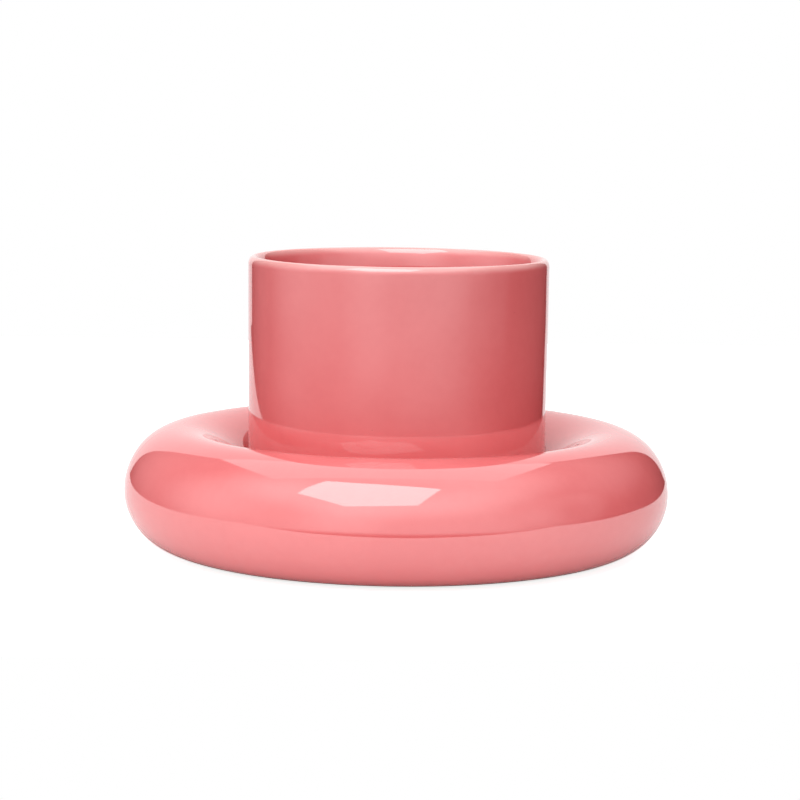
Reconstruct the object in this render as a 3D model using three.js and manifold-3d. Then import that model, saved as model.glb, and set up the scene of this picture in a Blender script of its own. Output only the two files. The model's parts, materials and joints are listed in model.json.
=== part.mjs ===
// A straight glazed clay pot that stands loose in a fat, hollow, ring-shaped saucer on four rubber bumpers.
// Millimetres, +Z up. The origin is the centre of the footprint, on the surface that the bumpers stand on.

import * as THREE from "three";
import { mergeVertices } from "three/addons/utils/BufferGeometryUtils.js";
import Module from "manifold-3d";

// Pot
const POT_RIM_DIAMETER = 148.5;
const POT_HEIGHT = 134;
const POT_DRAFT = 0.75; // how much smaller the foot's radius is than the rim's
const POT_WALL = 6;
const LIP_OUTER_HALF = 2.6; // from the lip's crest to the pot's outer side
const LIP_OUTER_HEIGHT = 4.1;
const LIP_INNER_HEIGHT = 12.5; // the inner side runs down into the wall in a long curve
const POT_FLOOR_THICKNESS = 7;
const POT_INNER_CORNER = 8; // round between the inner wall and the inner floor
const POT_FOOT_EDGE = 2.5; // round on the foot's outer edge
const FOOT_RING_WIDTH = 10;
const FOOT_RING_HEIGHT = 4; // hollow under the pot's floor, inside its foot ring
const DRAIN_DIAMETER = 16;
const DRAIN_EDGE = 2; // round where the inner floor runs into the drain hole
const NOTCH_COUNT = 4; // ways out for water through the foot ring
const NOTCH_WIDTH = 10;
const NOTCH_HEIGHT = 3;

// Ring saucer
const RING_GAP = 2.5; // from the pot's foot radius to the ring's inner side
const RING_INNER_HALF = 31; // from the ring's inner side to the line of its crown
const RING_OUTER_HALF = 28; // from the line of its crown to its outer side
const RING_CROWN = 30.5; // from the widest line of the section up to its crown
const RING_BELLY = 27.5; // from the base up to the widest line of the section
const BASE_GRIND = 0.5; // what is ground off the section's lowest line to make it flat
const BASE_WIDTH = 26; // flat base, from its outer edge inwards
const RING_WALL = 6;
const SAUCER_FLOOR_THICKNESS = 6;
const SAUCER_UNDERCUT = 3; // how far the floor's underside lies above the base
const WELL_CLEARANCE = 1; // between the pot's foot and the well, at the floor
const VENT_DIAMETER = 3; // lets air and steam out of the hollow ring

// Rubber bumpers
const BUMPER_PLACES = ["back_right", "back_left", "front_left", "front_right"]; // evenly round the base
const BUMPER_DIAMETER = 10;
const BUMPER_HEIGHT = 1.5;
const BUMPER_EDGE = 0.6; // slope round the face that stands on the table
const BUMPER_INSET = 4; // from the base's inner edge to a bumper

// Fineness of the facets
const TURN_STEPS = 64;
const HIDDEN_TURN_STEPS = 48;
const BUMPER_TURN_STEPS = 24;
const VENT_TURN_STEPS = 12;
const ARC_STEPS = 7; // for each quarter turn of a section
const SMALL_ARC_STEPS = 4;
const CUT_MARGIN = 1; // how far a cutting tool runs past the face it cuts

// Worked out from the sizes above
const QUARTER = Math.PI / 2;
const potRimRadius = POT_RIM_DIAMETER / 2;
const potFootRadius = potRimRadius - POT_DRAFT;
const potInnerFloor = FOOT_RING_HEIGHT + POT_FLOOR_THICKNESS;
const footRingInner = potFootRadius - FOOT_RING_WIDTH;
const drainRadius = DRAIN_DIAMETER / 2;
const ringInner = potFootRadius + RING_GAP;
const ringCentre = ringInner + RING_INNER_HALF;
const lowerHalfHeight = RING_BELLY + BASE_GRIND;
const baseAngle = -Math.asin(RING_BELLY / lowerHalfHeight);
const baseOuter = ringCentre + RING_OUTER_HALF * Math.cos(baseAngle);
const baseInner = baseOuter - BASE_WIDTH;
const saucerFloor = SAUCER_UNDERCUT + SAUCER_FLOOR_THICKNESS;
const wellFloorRadius = potFootRadius + WELL_CLEARANCE;
const bumperRadius = BUMPER_DIAMETER / 2;
const bumperCircle = baseInner + BUMPER_INSET + bumperRadius;
const saucerBase = BUMPER_HEIGHT;
const potFoot = saucerBase + saucerFloor;

const wasm = await Module();
wasm.setup();

// Points of an elliptical arc in a section: radius from the axis, then height.
function arc(centreRadius, centreHeight, halfWidth, halfHeight, from, to, steps) {
  return Array.from({ length: steps + 1 }, (_, step) => {
    const angle = from + ((to - from) * step) / steps;
    const radius = centreRadius + halfWidth * Math.cos(angle);
    const height = centreHeight + halfHeight * Math.sin(angle);
    return new THREE.Vector2(radius, height);
  });
}

function point(radius, height) {
  return new THREE.Vector2(radius, height);
}

// A section that ends where it starts.
function closed(section) {
  return [...section, section[0].clone()];
}

// The solid that a section sweeps about the Z axis.
function turned(section, steps) {
  return new THREE.LatheGeometry(section, steps).rotateX(QUARTER);
}

// A closed geometry as a solid that can be cut.
function solidOf(geometry) {
  const bare = geometry.clone();
  bare.deleteAttribute("normal");
  bare.deleteAttribute("uv");
  const merged = mergeVertices(bare);
  const corners = merged.index.array;
  const triangles = [];
  for (let i = 0; i < corners.length; i += 3) {
    const [a, b, c] = corners.slice(i, i + 3);
    if (a !== b && b !== c && c !== a) {
      triangles.push(a, b, c);
    }
  }
  const vertProperties = new Float32Array(merged.attributes.position.array);
  const triVerts = new Uint32Array(triangles);
  return new wasm.Manifold(new wasm.Mesh({ numProp: 3, vertProperties, triVerts }));
}

// A cut solid as a geometry again.
function geometryOf(solid) {
  const { vertProperties, triVerts } = solid.getMesh();
  const geometry = new THREE.BufferGeometry();
  geometry.setAttribute("position", new THREE.BufferAttribute(vertProperties, 3));
  geometry.setIndex(new THREE.BufferAttribute(triVerts, 1));
  geometry.computeVertexNormals();
  return geometry;
}

// The pot's wall and floor, with the drain hole, as one closed section.
function potSection() {
  const lipCrest = potRimRadius - LIP_OUTER_HALF;
  const lipInnerHalf = POT_WALL - LIP_OUTER_HALF;
  const lipOuterFoot = POT_HEIGHT - LIP_OUTER_HEIGHT;
  const lipInnerFoot = POT_HEIGHT - LIP_INNER_HEIGHT;
  const innerFootRadius = potFootRadius - POT_WALL;
  const cornerRadius = innerFootRadius - POT_INNER_CORNER;
  const cornerHeight = potInnerFloor + POT_INNER_CORNER;
  const footEdgeRadius = potFootRadius - POT_FOOT_EDGE;
  const drainEdgeRadius = drainRadius + DRAIN_EDGE;
  const drainEdgeHeight = potInnerFloor - DRAIN_EDGE;
  return closed([
    point(drainRadius, FOOT_RING_HEIGHT),
    point(footRingInner, FOOT_RING_HEIGHT),
    point(footRingInner, 0),
    ...arc(footEdgeRadius, POT_FOOT_EDGE, POT_FOOT_EDGE, POT_FOOT_EDGE, -QUARTER, 0, SMALL_ARC_STEPS),
    ...arc(lipCrest, lipOuterFoot, LIP_OUTER_HALF, LIP_OUTER_HEIGHT, 0, QUARTER, SMALL_ARC_STEPS),
    ...arc(lipCrest, lipInnerFoot, lipInnerHalf, LIP_INNER_HEIGHT, QUARTER, 2 * QUARTER, ARC_STEPS).slice(1),
    ...arc(cornerRadius, cornerHeight, POT_INNER_CORNER, POT_INNER_CORNER, 0, -QUARTER, SMALL_ARC_STEPS),
    ...arc(drainEdgeRadius, drainEdgeHeight, DRAIN_EDGE, DRAIN_EDGE, QUARTER, 2 * QUARTER, SMALL_ARC_STEPS),
  ]);
}

// The pot, with notches through its foot ring that let the drained water out into the well.
function potGeometry() {
  let pot = solidOf(turned(potSection(), TURN_STEPS));
  const notchLength = FOOT_RING_WIDTH + 2 * CUT_MARGIN;
  const notchDepth = NOTCH_HEIGHT + CUT_MARGIN;
  for (let i = 0; i < NOTCH_COUNT; i += 1) {
    const notch = new THREE.BoxGeometry(notchLength, NOTCH_WIDTH, notchDepth);
    notch.translate((footRingInner + potFootRadius) / 2, 0, NOTCH_HEIGHT - notchDepth / 2);
    notch.rotateZ((2 * Math.PI * i) / NOTCH_COUNT);
    pot = pot.subtract(solidOf(notch));
  }
  return geometryOf(pot);
}

// Angle on the ring's upper section where a straight well side, drawn from the floor, touches it.
function wellTangent() {
  const across = (wellFloorRadius - ringCentre) / RING_INNER_HALF;
  const down = (saucerFloor - RING_BELLY) / RING_CROWN;
  return 2 * Math.PI + Math.atan2(down, across) - Math.acos(1 / Math.hypot(across, down));
}

// The saucer's outside: flat base, round ring, tapering well and flat floor.
function saucerSection() {
  return [
    point(0, SAUCER_UNDERCUT),
    point(baseInner - SAUCER_UNDERCUT, SAUCER_UNDERCUT),
    point(baseInner, 0),
    ...arc(ringCentre, RING_BELLY, RING_OUTER_HALF, lowerHalfHeight, baseAngle, 0, ARC_STEPS),
    ...arc(ringCentre, RING_BELLY, RING_OUTER_HALF, RING_CROWN, 0, QUARTER, ARC_STEPS).slice(1),
    ...arc(ringCentre, RING_BELLY, RING_INNER_HALF, RING_CROWN, QUARTER, wellTangent(), ARC_STEPS).slice(1),
    point(wellFloorRadius, saucerFloor),
    point(0, saucerFloor),
  ];
}

// The hollow that casting leaves inside the ring.
function ringHollowSection() {
  const inner = RING_INNER_HALF - RING_WALL;
  const outer = RING_OUTER_HALF - RING_WALL;
  const above = RING_CROWN - RING_WALL;
  const below = RING_BELLY - RING_WALL;
  const quarters = [[outer, above], [inner, above], [inner, below], [outer, below]];
  return closed(quarters.flatMap(([halfWidth, halfHeight], i) => {
    const from = i * QUARTER;
    return arc(ringCentre, RING_BELLY, halfWidth, halfHeight, from, from + QUARTER, SMALL_ARC_STEPS).slice(0, -1);
  }));
}

function saucerGeometry() {
  const outside = solidOf(turned(saucerSection(), TURN_STEPS));
  const hollow = solidOf(turned(ringHollowSection(), HIDDEN_TURN_STEPS));
  const ventLength = RING_WALL + 2 * CUT_MARGIN;
  const vent = new THREE.CylinderGeometry(VENT_DIAMETER / 2, VENT_DIAMETER / 2, ventLength, VENT_TURN_STEPS);
  vent.rotateX(QUARTER);
  vent.translate(0, ringCentre, RING_WALL / 2);
  return geometryOf(outside.subtract(hollow).subtract(solidOf(vent)));
}

function bumperGeometry() {
  const section = [
    point(0, 0),
    point(bumperRadius - BUMPER_EDGE, 0),
    point(bumperRadius, BUMPER_EDGE),
    point(bumperRadius, BUMPER_HEIGHT),
    point(0, BUMPER_HEIGHT),
  ];
  return turned(section, BUMPER_TURN_STEPS);
}

function piece(name, geometry, material) {
  const mesh = new THREE.Mesh(geometry, new THREE.MeshStandardMaterial(material));
  mesh.name = name;
  return mesh;
}

const coralGlaze = { color: 0xe87f7e, roughness: 0.1, metalness: 0 };
const paleRubber = { color: 0xd9d6cf, roughness: 0.55, metalness: 0 };

const pot = piece("pot", potGeometry(), coralGlaze);
pot.position.z = potFoot;

const saucer = piece("ring_saucer", saucerGeometry(), coralGlaze);
saucer.position.z = saucerBase;

const plantPot = new THREE.Group();
plantPot.add(pot, saucer);

BUMPER_PLACES.forEach((place, i) => {
  const turn = (2 * Math.PI * (i + 0.5)) / BUMPER_PLACES.length;
  const bumper = piece(`bumper_${place}`, bumperGeometry(), paleRubber);
  bumper.position.set(bumperCircle * Math.cos(turn), bumperCircle * Math.sin(turn), 0);
  plantPot.add(bumper);
});

export default plantPot;
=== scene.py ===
# The looks of a straight glazed pot that stands loose in a fat, hollow ring saucer on four rubber bumpers.
# Metres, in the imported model's frame: +Z up, +Y away from the camera, origin on the table below the centre.

import json
import math

import bpy
from mathutils import Matrix, Vector


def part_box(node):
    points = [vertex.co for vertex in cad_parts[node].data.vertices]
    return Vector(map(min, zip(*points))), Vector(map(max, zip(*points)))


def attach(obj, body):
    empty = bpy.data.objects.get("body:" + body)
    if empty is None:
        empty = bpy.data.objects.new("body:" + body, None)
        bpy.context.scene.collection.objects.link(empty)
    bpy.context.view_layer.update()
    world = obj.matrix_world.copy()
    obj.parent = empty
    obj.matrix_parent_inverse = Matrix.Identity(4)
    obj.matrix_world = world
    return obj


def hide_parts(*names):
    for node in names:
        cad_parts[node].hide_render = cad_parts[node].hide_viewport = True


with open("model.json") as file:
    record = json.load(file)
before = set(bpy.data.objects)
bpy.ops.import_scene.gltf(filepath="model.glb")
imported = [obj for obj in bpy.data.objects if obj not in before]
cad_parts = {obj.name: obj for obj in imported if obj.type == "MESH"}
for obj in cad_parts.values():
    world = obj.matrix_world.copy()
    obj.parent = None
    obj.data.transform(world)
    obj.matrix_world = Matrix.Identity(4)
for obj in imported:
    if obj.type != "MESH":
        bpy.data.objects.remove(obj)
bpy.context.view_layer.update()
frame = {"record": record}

MM = 0.001
DEGREE = math.pi / 180
QUARTER = math.pi / 2
TURN = 2 * math.pi

# Places that the frame gives
pot_low, pot_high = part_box("pot")
saucer_low, saucer_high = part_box("ring_saucer")
bumper_low, bumper_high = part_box("bumper_back_right")
mount_point = {mount["name"]: Vector(mount["pos_m"]) for mount in frame["record"]["mounts"]}

# Pot
POT_FOOT = pot_low.z
POT_RIM = pot_high.z
POT_RADIUS = pot_high.x
POT_INNER_FLOOR = mount_point["inner_floor"].z
POT_DRAFT = 0.75 * MM  # how much smaller the foot's radius is than the rim's
POT_WALL = 6 * MM
LIP_OUTER_HALF = 2.6 * MM  # from the lip's crest to the outer side
LIP_OUTER_HEIGHT = 4.1 * MM
LIP_INNER_HEIGHT = 12.5 * MM  # the inner side runs down into the wall in a long curve
POT_INNER_CORNER = 8 * MM
POT_FOOT_EDGE = 2.5 * MM
FOOT_RING_WIDTH = 10 * MM
FOOT_RING_HEIGHT = 4 * MM
FOOT_RING_EDGE = 1 * MM
DRAIN_RADIUS = 8 * MM
DRAIN_EDGE = 2 * MM
NOTCH_COUNT = 4
NOTCH_WIDTH = 10 * MM
NOTCH_HEIGHT = 3 * MM
NOTCH_EASE = 1.2 * MM  # half the width of a notch's sloping side

# Ring saucer
RING_BASE = saucer_low.z
RING_CROWN = saucer_high.z
RING_RADIUS = saucer_high.x
RING_OUTER_HALF = 28 * MM  # from the crown's line to the outer side
RING_INNER_HALF = 31 * MM  # from the crown's line to the inner side
RING_BELLY = 27.5 * MM  # from the base up to the widest line of the section
BASE_GRIND = 0.5 * MM  # what is ground off the section's lowest line to make it flat
BASE_WIDTH = 26 * MM
BASE_EDGE = 0.8 * MM
UNDERCUT = 3 * MM  # how far the floor's underside lies above the base
UNDERCUT_ROUND = 2 * MM
WELL_CLEARANCE = 1 * MM
WELL_ROUND = 2 * MM
VENT_RADIUS = 1.5 * MM
VENT_DEPTH = 6 * MM

# Rubber bumpers
BUMPER_COUNT = 4
BUMPER_RADIUS = (bumper_high.x - bumper_low.x) / 2
BUMPER_HEIGHT = bumper_high.z - bumper_low.z
BUMPER_CIRCLE = ((bumper_low + bumper_high) / 2).xy.length
BUMPER_EDGE = 0.7 * MM
BUMPER_BASE_EDGE = 0.15 * MM

# What casting and glazing leave: slow waves in the skin
POT_WAVE = 0.16 * MM
RING_WAVE = 0.16 * MM
WAVE_LENGTH = 45 * MM
TRUE_EDGE = 12 * MM  # over this height above a seat the waves fade in

# Fineness of the skins
TURN_STEPS = 360
BUMPER_TURN_STEPS = 48
VENT_STEPS = 32
RING_ARC_STEP = 2 * DEGREE
ROUND_STEP = 9 * DEGREE
LIP_STEP = 3 * DEGREE
WALL_STEP = 6 * MM
MERGE_DISTANCE = 0.001 * MM
SHARP_ANGLE = 50 * DEGREE

# Worked out from the sizes above
pot_foot_radius = POT_RADIUS - POT_DRAFT
pot_inner_foot = pot_foot_radius - POT_WALL
foot_ring_inner = pot_foot_radius - FOOT_RING_WIDTH
pot_underside = POT_FOOT + FOOT_RING_HEIGHT
ring_centre = RING_RADIUS - RING_OUTER_HALF
ring_middle = RING_BASE + RING_BELLY
ring_above = RING_CROWN - ring_middle
ring_below = RING_BELLY + BASE_GRIND
base_angle = -math.asin(RING_BELLY / ring_below)
base_outer = ring_centre + RING_OUTER_HALF * math.cos(base_angle)
base_inner = base_outer - BASE_WIDTH
well_floor = POT_FOOT
well_floor_radius = pot_foot_radius + WELL_CLEARANCE


# Node trees

class Wire:
    """An output of a node. Sums on it add Math nodes to its tree."""

    def __init__(self, board, socket):
        self.board = board
        self.socket = socket

    def out(self, name):
        """Another output of the same node."""
        return Wire(self.board, self.socket.node.outputs[name])

    def __add__(self, other):
        return self.board.math("ADD", self, other)

    def __radd__(self, other):
        return self.board.math("ADD", other, self)

    def __sub__(self, other):
        return self.board.math("SUBTRACT", self, other)

    def __rsub__(self, other):
        return self.board.math("SUBTRACT", other, self)

    def __mul__(self, other):
        return self.board.math("MULTIPLY", self, other)

    def __rmul__(self, other):
        return self.board.math("MULTIPLY", other, self)

    def __truediv__(self, other):
        return self.board.math("DIVIDE", self, other)

    def __rtruediv__(self, other):
        return self.board.math("DIVIDE", other, self)


class Board:
    """A node tree while it is being wired."""

    def __init__(self, tree):
        self.tree = tree

    def node(self, kind, settings=None, sockets=None):
        """Adds a node: settings first, then its sockets' values or links. Gives its first output."""
        node = self.tree.nodes.new(kind)
        for name, setting in (settings or {}).items():
            setattr(node, name, setting)
        for name, value in (sockets or {}).items():
            self.feed(self.input(node, name), value)
        outputs = [socket for socket in node.outputs if socket.enabled]
        return Wire(self, outputs[0]) if outputs else None

    def input(self, node, name):
        """A node's input by its number, or the one that is in use under a name."""
        if isinstance(name, int):
            return node.inputs[name]
        return next(socket for socket in node.inputs if socket.enabled and socket.name == name)

    def feed(self, socket, value):
        if isinstance(value, Wire):
            self.tree.links.new(value.socket, socket)
        else:
            socket.default_value = value

    def math(self, operation, *values):
        return self.node("ShaderNodeMath", {"operation": operation}, dict(enumerate(values)))

    def smooth(self, value, start, end):
        """0 at start, 1 at end, with soft ends."""
        sockets = {"Value": value, "From Min": start, "From Max": end}
        return self.node("ShaderNodeMapRange", {"interpolation_type": "SMOOTHSTEP"}, sockets)

    def noise(self, place, size, detail=2.0):
        """Soft noise from 0 to 1 whose lumps are about that size."""
        return self.node("ShaderNodeTexNoise", {}, {"Vector": place, "Scale": 1 / size, "Detail": detail})

    def mix(self, share, first, second):
        """The second colour by a share, over the first."""
        sockets = {"Factor": share, "A": first, "B": second}
        return self.node("ShaderNodeMix", {"data_type": "RGBA"}, sockets)

    def parts(self, vector):
        """A vector's X, Y and Z."""
        x = self.node("ShaderNodeSeparateXYZ", {}, {"Vector": vector})
        return x, x.out("Y"), x.out("Z")

    def bump(self, height):
        """The normal of a surface with that relief, in metres."""
        return self.node("ShaderNodeBump", {}, {"Strength": 1.0, "Distance": 1.0, "Height": height})


class Recipe(Board):
    """A geometry tree with named inputs that makes a finished piece from the line of its section."""

    def __init__(self, name, inputs):
        super().__init__(bpy.data.node_groups.new(name, "GeometryNodeTree"))
        face = self.tree.interface
        face.new_socket("Geometry", in_out="INPUT", socket_type="NodeSocketGeometry")
        face.new_socket("Geometry", in_out="OUTPUT", socket_type="NodeSocketGeometry")
        self.sizes = inputs
        self.identifiers = {}
        for input_name, value in inputs.items():
            kind = "NodeSocketInt" if isinstance(value, int) else "NodeSocketFloat"
            socket = face.new_socket(input_name, in_out="INPUT", socket_type=kind)
            self.identifiers[input_name] = socket.identifier
        self.entry = self.node("NodeGroupInput")

    def size(self, name):
        return self.entry.out(name)

    def turned(self, section, steps):
        """The closed skin that a section's points sweep about the Z axis."""
        count = self.node("GeometryNodeAttributeDomainSize", {"component": "MESH"}, {"Geometry": section})
        grid = self.node("GeometryNodeMeshGrid", {}, {"Vertices X": steps + 1, "Vertices Y": count})
        index = self.node("GeometryNodeInputIndex")
        step = self.math("FLOOR", index / count)
        position = self.node("GeometryNodeInputPosition")
        sockets = {"Geometry": section, "Value": position, "Index": index - step * count}
        place = self.node("GeometryNodeSampleIndex", {"data_type": "FLOAT_VECTOR"}, sockets)
        radius, _, height = self.parts(place)
        angle = step * TURN / steps
        east = radius * self.math("COSINE", angle)
        north = radius * self.math("SINE", angle)
        swept = self.node("ShaderNodeCombineXYZ", {}, {"X": east, "Y": north, "Z": height})
        skin = self.node("GeometryNodeSetPosition", {}, {"Geometry": grid, "Position": swept})
        return self.node("GeometryNodeMergeByDistance", {}, {"Geometry": skin, "Distance": MERGE_DISTANCE})

    def waved(self, skin, height, length, start, end):
        """The skin, moved in and out by slow waves that fade in from a start level to an end level."""
        place = self.node("GeometryNodeInputPosition")
        level = self.parts(place)[2]
        wave = self.noise(place, length, detail=1.0) * 2 - 1
        push = wave * height * self.smooth(level, start, end)
        normal = self.node("GeometryNodeInputNormal")
        sockets = {"Vector": normal, "Scale": push}
        offset = self.node("ShaderNodeVectorMath", {"operation": "SCALE"}, sockets)
        return self.node("GeometryNodeSetPosition", {}, {"Geometry": skin, "Offset": offset})

    def finish(self, skin, finish):
        """Smooth faces, crisp edges where they are sharp, one mesh, one finish."""
        sockets = {0: skin, "Shade Smooth": True}
        smooth = self.node("GeometryNodeSetShadeSmooth", {"domain": "FACE"}, sockets)
        angle = self.node("GeometryNodeInputMeshEdgeAngle")
        sharp = self.math("GREATER_THAN", angle, SHARP_ANGLE)
        sockets = {0: smooth, "Selection": sharp, "Shade Smooth": False}
        edged = self.node("GeometryNodeSetShadeSmooth", {"domain": "EDGE"}, sockets)
        whole = self.node("GeometryNodeRealizeInstances", {}, {"Geometry": edged})
        painted = self.node("GeometryNodeSetMaterial", {}, {"Geometry": whole, "Material": finish})
        self.node("NodeGroupOutput", {}, {"Geometry": painted})


# Sections: points of radius and height, which go round with the clay on their left

def arc(centre, halves, start, end, step):
    """Points of an elliptical arc."""
    steps = max(2, round(abs(end - start) / step))
    points = []
    for i in range(steps + 1):
        angle = start + (end - start) * i / steps
        across = halves[0] * math.cos(angle)
        up = halves[1] * math.sin(angle)
        points.append(Vector((centre[0] + across, centre[1] + up)))
    return points


def round_corner(before, corner, after, radius):
    """The arc that rounds a corner."""
    back = (before - corner).normalized()
    on = (after - corner).normalized()
    half = back.angle(on) / 2
    centre = corner + (back + on).normalized() * radius / math.sin(half)
    first = corner + back * radius / math.tan(half) - centre
    turn = first.angle_signed(on * radius / math.tan(half) + corner - centre)
    steps = max(2, round(abs(turn) / ROUND_STEP))
    return [centre + Matrix.Rotation(-turn * i / steps, 2) @ first for i in range(steps + 1)]


def drawn(corners, closed):
    """A section's points from its corners, each with a radius and height and, for some, a round."""
    places = [Vector(corner[:2]) for corner in corners]
    line = []
    for i, corner in enumerate(corners):
        if len(corner) == 3:
            line += round_corner(places[i - 1], places[i], places[(i + 1) % len(places)], corner[2])
        else:
            line.append(places[i])
    if closed:
        line.append(line[0])
    return filled(line)


def filled(line):
    """The line with more points along its long straight stretches."""
    points = [line[0]]
    for end in line[1:]:
        start = points[-1]
        steps = max(1, math.ceil((end - start).length / WALL_STEP))
        points += [start.lerp(end, (i + 1) / steps) for i in range(steps)]
    return points


def pot_section():
    """Foot ring, wall, round lip, inner floor and drain hole."""
    crest = POT_RADIUS - LIP_OUTER_HALF
    outer_halves = (LIP_OUTER_HALF, LIP_OUTER_HEIGHT)
    inner_halves = (POT_WALL - LIP_OUTER_HALF, LIP_INNER_HEIGHT)
    lip = arc((crest, POT_RIM - LIP_OUTER_HEIGHT), outer_halves, 0, QUARTER, LIP_STEP)
    lip += arc((crest, POT_RIM - LIP_INNER_HEIGHT), inner_halves, QUARTER, 2 * QUARTER, LIP_STEP)[1:]
    corners = [
        (DRAIN_RADIUS, pot_underside, FOOT_RING_EDGE),
        (foot_ring_inner, pot_underside, FOOT_RING_EDGE),
        (foot_ring_inner, POT_FOOT, FOOT_RING_EDGE),
        (pot_foot_radius, POT_FOOT, POT_FOOT_EDGE),
        *(tuple(point) for point in lip),
        (pot_inner_foot, POT_INNER_FLOOR, POT_INNER_CORNER),
        (DRAIN_RADIUS, POT_INNER_FLOOR, DRAIN_EDGE),
    ]
    return drawn(corners, closed=True)


def well_tangent():
    """Angle on the ring's upper section where a straight well side, drawn from the floor, touches it."""
    across = (well_floor_radius - ring_centre) / RING_INNER_HALF
    down = (well_floor - ring_middle) / ring_above
    return TURN + math.atan2(down, across) - math.acos(1 / math.hypot(across, down))


def saucer_section():
    """Flat base, round ring, tapering well and flat floor."""
    centre = (ring_centre, ring_middle)
    belly = arc(centre, (RING_OUTER_HALF, ring_below), base_angle, 0, RING_ARC_STEP)
    shoulder = arc(centre, (RING_OUTER_HALF, ring_above), 0, QUARTER, RING_ARC_STEP)
    inside = arc(centre, (RING_INNER_HALF, ring_above), QUARTER, well_tangent(), RING_ARC_STEP)
    corners = [
        (0, RING_BASE + UNDERCUT),
        (base_inner - UNDERCUT, RING_BASE + UNDERCUT, UNDERCUT_ROUND),
        (base_inner, RING_BASE, BASE_EDGE),
        *(tuple(point) for point in belly + shoulder[1:] + inside[1:]),
        (well_floor_radius, well_floor, WELL_ROUND),
        (0, well_floor),
    ]
    return drawn(corners, closed=False)


def bumper_section():
    """A low disc with a round lower edge."""
    corners = [
        (0, 0),
        (BUMPER_RADIUS, 0, BUMPER_EDGE),
        (BUMPER_RADIUS, BUMPER_HEIGHT, BUMPER_BASE_EDGE),
        (0, BUMPER_HEIGHT),
    ]
    return drawn(corners, closed=False)


# Pieces

def pot_recipe(finish):
    """Turns the pot and presses the notches into its foot ring."""
    sizes = {
        "Turn steps": TURN_STEPS,
        "Wave height": POT_WAVE,
        "Wave length": WAVE_LENGTH,
        "Foot level": POT_FOOT,
        "Foot ring height": FOOT_RING_HEIGHT,
        "Notch count": NOTCH_COUNT,
        "Notch width": NOTCH_WIDTH,
        "Notch height": NOTCH_HEIGHT,
    }
    recipe = Recipe("turned_pot", sizes)
    size = recipe.size
    skin = recipe.turned(recipe.entry, size("Turn steps"))
    foot = size("Foot level")
    skin = recipe.waved(skin, size("Wave height"), size("Wave length"), foot, foot + TRUE_EDGE)
    place = recipe.node("GeometryNodeInputPosition")
    x, y, level = recipe.parts(place)
    spacing = TURN / size("Notch count")
    angle = recipe.math("ARCTAN2", y, x)
    off = angle - spacing * recipe.math("ROUND", angle / spacing)
    across = recipe.math("ABSOLUTE", off) * recipe.math("SQRT", x * x + y * y)
    half = size("Notch width") / 2
    cut = recipe.smooth(across, half + NOTCH_EASE, half - NOTCH_EASE)
    share = recipe.math("MAXIMUM", 1 - (level - foot) / size("Foot ring height"), 0.0)
    lift = recipe.node("ShaderNodeCombineXYZ", {}, {"Z": size("Notch height") * cut * share})
    notched = recipe.node("GeometryNodeSetPosition", {}, {"Geometry": skin, "Offset": lift})
    recipe.finish(notched, finish)
    return recipe


def saucer_recipe(finish):
    """Turns the ring saucer and bores the vent through its base."""
    sizes = {
        "Turn steps": TURN_STEPS,
        "Wave height": RING_WAVE,
        "Wave length": WAVE_LENGTH,
        "Seat level": well_floor,
        "Vent radius": VENT_RADIUS,
        "Vent depth": VENT_DEPTH,
        "Vent distance": ring_centre,
        "Base level": RING_BASE,
    }
    recipe = Recipe("turned_ring_saucer", sizes)
    size = recipe.size
    skin = recipe.turned(recipe.entry, size("Turn steps"))
    seat = size("Seat level")
    skin = recipe.waved(skin, size("Wave height"), size("Wave length"), seat, seat + TRUE_EDGE)
    sockets = {"Vertices": VENT_STEPS, "Radius": size("Vent radius"), "Depth": size("Vent depth") * 2}
    drill = recipe.node("GeometryNodeMeshCylinder", {}, sockets)
    place = recipe.node("ShaderNodeCombineXYZ", {}, {"Y": size("Vent distance"), "Z": size("Base level")})
    drill = recipe.node("GeometryNodeTransform", {}, {"Geometry": drill, "Translation": place})
    settings = {"operation": "DIFFERENCE", "solver": "MANIFOLD"}
    bored = recipe.node("GeometryNodeMeshBoolean", settings, {"Mesh 1": skin, "Mesh 2": drill})
    recipe.finish(bored, finish)
    return recipe


def bumper_recipe(finish):
    """Turns one bumper and sets copies of it evenly round the base."""
    sizes = {"Turn steps": BUMPER_TURN_STEPS, "Count": BUMPER_COUNT, "Circle radius": BUMPER_CIRCLE}
    recipe = Recipe("rubber_bumpers", sizes)
    size = recipe.size
    bumper = recipe.turned(recipe.entry, size("Turn steps"))
    sockets = {"Vertices": size("Count"), "Radius": size("Circle radius")}
    circle = recipe.node("GeometryNodeMeshCircle", {}, sockets)
    turn = recipe.node("ShaderNodeCombineXYZ", {}, {"Z": math.pi / size("Count")})
    circle = recipe.node("GeometryNodeTransform", {}, {"Geometry": circle, "Rotation": turn})
    placed = recipe.node("GeometryNodeInstanceOnPoints", {}, {"Points": circle, "Instance": bumper})
    recipe.finish(placed, finish)
    return recipe


def made(name, section, recipe):
    """A plain mesh that a recipe makes from a section."""
    line = bpy.data.meshes.new(name)
    edges = [(i, i + 1) for i in range(len(section) - 1)]
    line.from_pydata([(point.x, 0, point.y) for point in section], edges, [])
    piece = bpy.data.objects.new(name, line)
    bpy.context.scene.collection.objects.link(piece)
    modifier = piece.modifiers.new("recipe", "NODES")
    modifier.node_group = recipe.tree
    for input_name, value in recipe.sizes.items():
        modifier[recipe.identifiers[input_name]] = value
    evaluated = piece.evaluated_get(bpy.context.evaluated_depsgraph_get())
    mesh = bpy.data.meshes.new_from_object(evaluated)
    piece.modifiers.remove(modifier)
    piece.data = mesh
    bpy.data.meshes.remove(line)
    mesh.name = name
    return piece


# Finishes

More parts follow.
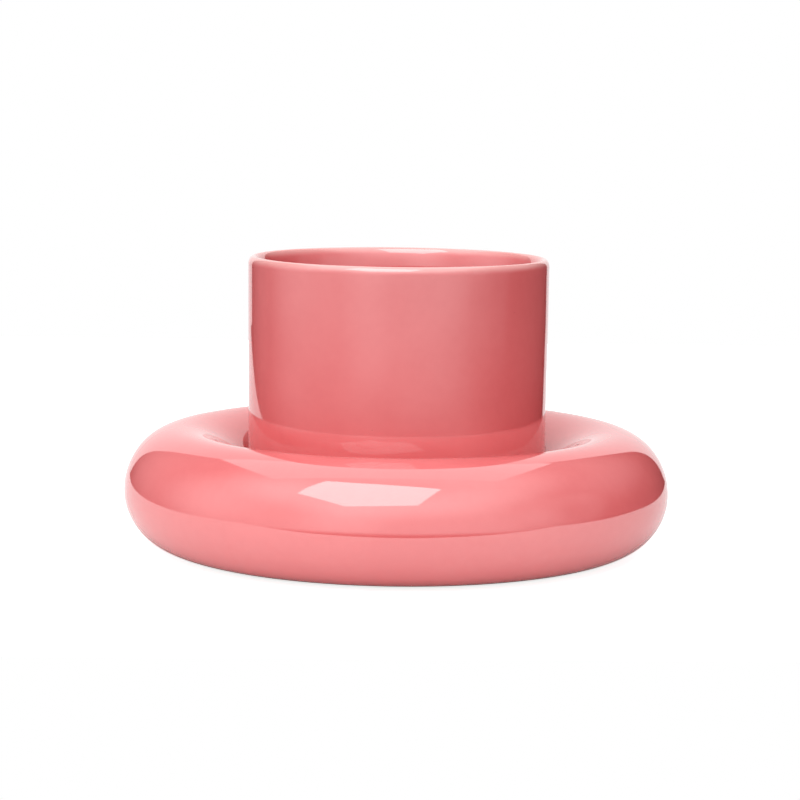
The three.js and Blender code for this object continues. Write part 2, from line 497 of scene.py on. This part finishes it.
CORAL = (0.73, 0.150, 0.154, 1)
DEEP_CORAL = (0.67, 0.115, 0.121, 1)
# The pale coral stands for thinner glaze at the lip and for a painted highlight along it
THIN_GLAZE_AND_HIGHLIGHT_CORAL = (0.84, 0.46, 0.43, 1)
PINHOLE_RED = (0.40, 0.06, 0.06, 1)
CLAY = (0.70, 0.62, 0.53, 1)
CLAY_SPECK = (0.52, 0.42, 0.33, 1)
SILICONE = (0.66, 0.64, 0.60, 1)
SILICONE_SHADE = (0.56, 0.54, 0.50, 1)
GLAZE_IOR = 2.1
SILICONE_IOR = 1.41

# Roughness, and what a pattern adds to it
GLAZE_ROUGHNESS = 0.035
DRIFT_ROUGHNESS = 0.02
MOTTLE_ROUGHNESS = 0.01
CLAY_ROUGHNESS = 0.85
SILICONE_ROUGHNESS = 0.42
DUST_ROUGHNESS = 0.2

# How far the glaze's colour goes over to another
THICK_SHARE = 0.35  # these three to the deep coral
POOL_SHARE = 0.45
ROLL_SHARE = 0.5
THIN_GLAZE_AND_HIGHLIGHT_SHARE = 0.6  # to the pale coral: thinner glaze at the lip, and a painted highlight along it
PINHOLE_SHARE = 0.5

# Sizes of what shows in the glaze and the clay
DRIFT_SIZE = 40 * MM  # slow changes of the glaze's thickness
MOTTLE_SIZE = 5 * MM
RIPPLE_SIZE = 11 * MM
RIPPLE_HEIGHT = 0.008 * MM
PINHOLE_SPACING = 15 * MM
PINHOLE_RADIUS = 0.4 * MM
PINHOLE_FLOOR = 0.15 * MM  # radius of a pinhole's bottom
PINHOLE_DEPTH = 0.05 * MM
CLAY_GRAIN = 0.5 * MM
CLAY_TOOTH = 0.04 * MM

# Where the glaze ends and pools, and where the lip turns paler: thinner glaze there and a painted highlight
POT_BARE = 0.5 * MM  # the height of the foot ring that is wiped bare
SAUCER_BARE = 0.35 * MM  # the height of the base that is ground bare
GLAZE_END_SIZE = 9 * MM  # the length and height of the waves in the glaze's end
GLAZE_END_WAVE = 0.5 * MM
GLAZE_END_SOFT = 0.1 * MM
GLAZE_ROLL = 1.2 * MM  # the thick roll above the glaze's end
PALE_LIP_STARTS = 3.6 * MM  # below the lip's crest
PALE_LIP_FULL = 0.4 * MM
PALE_LIP_WAVE = 0.8 * MM
POT_POOL = 9 * MM
WELL_POOL = 6 * MM

# Silicone
CLOUD_SIZE = 2.5 * MM
DUST_SIZE = 0.3 * MM
DUST_HEIGHT = 0.01 * MM


def new_finish(name):
    """An empty finish, the board to wire it on, and places on the piece that wears it."""
    material = bpy.data.materials.new(name)
    material.use_nodes = True
    material.node_tree.nodes.clear()
    board = Board(material.node_tree)
    return material, board, board.node("ShaderNodeTexCoord").out("Object")


def show_surface(board, sockets):
    """Ends a finish in one surface with these values and links."""
    shader = board.node("ShaderNodeBsdfPrincipled", {}, sockets)
    board.node("ShaderNodeOutputMaterial", {}, {"Surface": shader})


def coral_glaze(name, bare_level, pool_floor, pool_depth, lip=None):
    """Gloss coral glaze that pools on a floor and turns paler towards a lip (thinner glaze and a painted
    highlight), over clay left bare below a level.
    """
    material, board, place = new_finish(name)
    level = board.parts(place)[2]
    drift = board.noise(place, DRIFT_SIZE)
    mottle = board.noise(place, MOTTLE_SIZE, detail=3.0)
    thick = board.smooth(drift * 0.65 + mottle * 0.35, 0.32, 0.68)
    glaze = board.mix(thick * THICK_SHARE, CORAL, DEEP_CORAL)
    pooled = board.smooth(level, pool_floor + pool_depth, pool_floor)
    glaze = board.mix(pooled * POOL_SHARE, glaze, DEEP_CORAL)
    if lip is not None:
        # The lip is painted paler: partly thinner glaze, partly a painted highlight along the lip
        thin_glaze_and_highlight = board.smooth(level + (mottle - 0.5) * PALE_LIP_WAVE, lip - PALE_LIP_STARTS, lip - PALE_LIP_FULL)
        glaze = board.mix(thin_glaze_and_highlight * THIN_GLAZE_AND_HIGHLIGHT_SHARE, glaze, THIN_GLAZE_AND_HIGHLIGHT_CORAL)

    sockets = {"Vector": place, "Scale": 1 / PINHOLE_SPACING}
    to_pinhole = board.node("ShaderNodeTexVoronoi", {"feature": "F1"}, sockets) * PINHOLE_SPACING
    pinhole = board.smooth(to_pinhole, PINHOLE_RADIUS, PINHOLE_FLOOR)
    glaze = board.mix(pinhole * PINHOLE_SHARE, glaze, PINHOLE_RED)

    glaze_end = bare_level + (board.noise(place, GLAZE_END_SIZE) - 0.5) * GLAZE_END_WAVE
    bare = board.smooth(level, glaze_end + GLAZE_END_SOFT, glaze_end - GLAZE_END_SOFT)
    roll = board.smooth(level, glaze_end + GLAZE_ROLL, glaze_end + GLAZE_END_SOFT)
    glaze = board.mix(roll * ROLL_SHARE, glaze, DEEP_CORAL)
    grain = board.noise(place, CLAY_GRAIN)
    clay = board.mix(board.smooth(grain, 0.55, 0.75), CLAY, CLAY_SPECK)
    colour = board.mix(bare, glaze, clay)

    gloss = GLAZE_ROUGHNESS + DRIFT_ROUGHNESS * drift + MOTTLE_ROUGHNESS * mottle
    roughness = gloss + bare * (CLAY_ROUGHNESS - gloss)
    ripple = board.noise(place, RIPPLE_SIZE, detail=1.0) * RIPPLE_HEIGHT
    normal = board.bump(ripple - pinhole * PINHOLE_DEPTH + bare * grain * CLAY_TOOTH)
    show_surface(board, {"Base Color": colour, "Roughness": roughness, "IOR": GLAZE_IOR, "Normal": normal})
    return material


def milky_silicone():
    """Cloudy, slightly dusty silicone rubber."""
    material, board, place = new_finish("milky_silicone")
    cloud = board.noise(place, CLOUD_SIZE)
    dust = board.noise(place, DUST_SIZE)
    colour = board.mix(board.smooth(cloud, 0.35, 0.65), SILICONE, SILICONE_SHADE)
    roughness = SILICONE_ROUGHNESS + DUST_ROUGHNESS * dust
    normal = board.bump(dust * DUST_HEIGHT)
    sockets = {"Base Color": colour, "Roughness": roughness, "IOR": SILICONE_IOR, "Normal": normal}
    show_surface(board, sockets)
    return material


pot_glaze = coral_glaze("coral_glaze_pot", POT_FOOT + POT_BARE, POT_INNER_FLOOR, POT_POOL, lip=POT_RIM)
saucer_glaze = coral_glaze("coral_glaze_saucer", RING_BASE + SAUCER_BARE, well_floor, WELL_POOL)
bumper_rubber = milky_silicone()

pot = made("glazed_pot", pot_section(), pot_recipe(pot_glaze))
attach(pot, "pot")
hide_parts("pot")

saucer = made("glazed_ring_saucer", saucer_section(), saucer_recipe(saucer_glaze))
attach(saucer, "saucer")
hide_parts("ring_saucer")

bumpers = made("rubber_bumpers", bumper_section(), bumper_recipe(bumper_rubber))
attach(bumpers, "saucer")
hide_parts("bumper_back_right", "bumper_back_left", "bumper_front_left", "bumper_front_right")


# Studio: a white table, white paper behind it, a soft box and a scrim overhead, a dim room

TABLE_CORNERS = ((-0.39, -0.26), (0.40, -0.24), (0.44, 0.10), (0.29, 0.40), (0.56, 1.0), (-0.54, 1.0))
PAPER_DISTANCE = 1.0
PAPER_CORNERS = ((-0.63, 0.0), (0.55, 0.0), (0.55, 1.25), (-0.78, 1.25))
SCRIM_HEIGHT = 1.25
SCRIM_CORNERS = ((-0.80, -0.1), (0.62, -0.1), (0.62, 1.0), (-0.80, 1.0))
SOFTBOX_HEIGHT = 1.8
SOFTBOX_CORNERS = ((-1.34, -1.10), (-0.59, -0.30), (0.455, -0.77), (0.377, -2.25), (-1.02, -2.50))
SOFTBOX_STRENGTH = 3.75
SCRIM_STRENGTH = 1.5
PAPER_STRENGTH = 1.05
ROOM_GLOWS = (  # direction, where the glow starts and is full (as cosines), strength
    ((-0.85, -0.53, 0.25), 0.475, 1.0, 0.88),  # left
    ((0.26, -0.96, 0.15), 0.4, 1.0, 1.03),  # front, behind the camera
    ((0.97, -0.23, 0.2), 0.9, 0.985, 0.30),  # right
    ((0, -0.4, 1.0), 0.5, 0.95, 0.94),  # overhead
    ((-0.85, 0.3, 0.6), 0.5, 0.95, 0.38),  # high on the left
    ((0.6, 0.25, 1.0), 0.6, 0.95, 0.42),  # high on the right
)
HORIZON = (-0.195, -0.08)  # the heights, as sines, over which the dark floor gives way to the glows
TABLE_WHITE = (0.80, 0.80, 0.80, 1)
TABLE_GLOW = 0.82  # what the camera sees on top of the table's own paint
GLOSS_GLOW = 0.07  # the same in the glaze
WHITE = (1, 1, 1, 1)


def panel(name, corners, finish):
    """A flat stage panel."""
    mesh = bpy.data.meshes.new(name)
    mesh.from_pydata(corners, [], [range(len(corners))])
    mesh.materials.append(finish)
    flat = bpy.data.objects.new(name, mesh)
    bpy.context.scene.collection.objects.link(flat)
    return flat


def glow(name, strength):
    """An even white light."""
    material, board, _ = new_finish(name)
    shader = board.node("ShaderNodeEmission", {}, {"Color": WHITE, "Strength": strength})
    board.node("ShaderNodeOutputMaterial", {}, {"Surface": shader})
    return material


def white_table_top():
    """White, with the object's shadow, to the camera and in the glaze; open from below."""
    material, board, _ = new_finish("white_table_top")
    path = board.node("ShaderNodeLightPath")
    seen = path.out("Is Camera Ray")
    mirrored = board.math("MAXIMUM", path.out("Is Glossy Ray"), path.out("Is Transmission Ray"))
    paint = board.node("ShaderNodeBsdfDiffuse", {}, {"Color": TABLE_WHITE})
    strength = seen * TABLE_GLOW + mirrored * GLOSS_GLOW
    light = board.node("ShaderNodeEmission", {}, {"Color": WHITE, "Strength": strength})
    top = board.node("ShaderNodeAddShader", {}, {0: paint, 1: light})
    clear = board.node("ShaderNodeBsdfTransparent")
    below = board.node("ShaderNodeNewGeometry").out("Backfacing")
    shader = board.node("ShaderNodeMixShader", {}, {0: below, 1: top, 2: clear})
    board.node("ShaderNodeOutputMaterial", {}, {"Surface": shader})
    return material


def studio():
    """The table, and three panels that give light but aren't seen by the camera."""
    panel("table", [(x, y, 0) for x, y in TABLE_CORNERS], white_table_top())
    paper = [(x, PAPER_DISTANCE, z) for x, z in PAPER_CORNERS]
    scrim = [(x, y, SCRIM_HEIGHT) for x, y in SCRIM_CORNERS]
    softbox = [(x, y, SOFTBOX_HEIGHT) for x, y in SOFTBOX_CORNERS]
    lights = (
        ("paper", paper, PAPER_STRENGTH),
        ("scrim", scrim, SCRIM_STRENGTH),
        ("softbox", softbox, SOFTBOX_STRENGTH),
    )
    for name, corners, strength in lights:
        panel(name, corners, glow(f"{name}_light", strength)).visible_camera = False


def room():
    """A dim room that the camera sees as white."""
    world = bpy.data.worlds.new("room")
    world.use_nodes = True
    world.node_tree.nodes.clear()
    board = Board(world.node_tree)
    heading = board.node("ShaderNodeTexCoord").out("Generated")
    glows = []
    for towards, start, end, strength in ROOM_GLOWS:
        sockets = {0: heading, 1: Vector(towards).normalized()}
        facing = board.node("ShaderNodeVectorMath", {"operation": "DOT_PRODUCT"}, sockets).out("Value")
        glows.append(board.smooth(facing, start, end) * strength)
    level = sum(glows) * board.smooth(board.parts(heading)[2], *HORIZON)
    dim = board.node("ShaderNodeBackground", {}, {"Color": WHITE, "Strength": level})
    white = board.node("ShaderNodeBackground", {}, {"Color": WHITE, "Strength": 1.0})
    seen = board.node("ShaderNodeLightPath").out("Is Camera Ray")
    shader = board.node("ShaderNodeMixShader", {}, {0: seen, 1: dim, 2: white})
    board.node("ShaderNodeOutputWorld", {}, {"Surface": shader})
    bpy.context.scene.world = world


# Camera, where the photograph was taken from

EYE = Vector((0, -1.2326, 0.228))
PITCH = 7.156 * DEGREE  # down
YAW = -0.063 * DEGREE
ROLL = 0.733 * DEGREE
LENS = 112.51  # millimetres, for the sensor below
SENSOR = 36.0


def camera():
    """Looks at the object from the photograph's place."""
    lens = bpy.data.cameras.new("camera")
    lens.lens = LENS
    lens.sensor_width = SENSOR
    eye = bpy.data.objects.new("camera", lens)
    aim = Matrix.Rotation(YAW, 4, "Z") @ Matrix.Rotation(QUARTER - PITCH, 4, "X")
    eye.matrix_world = Matrix.Translation(EYE) @ aim @ Matrix.Rotation(ROLL, 4, "Z")
    bpy.context.scene.collection.objects.link(eye)
    bpy.context.scene.camera = eye


studio()
room()
camera()
bpy.context.scene.view_settings.view_transform = "Standard"
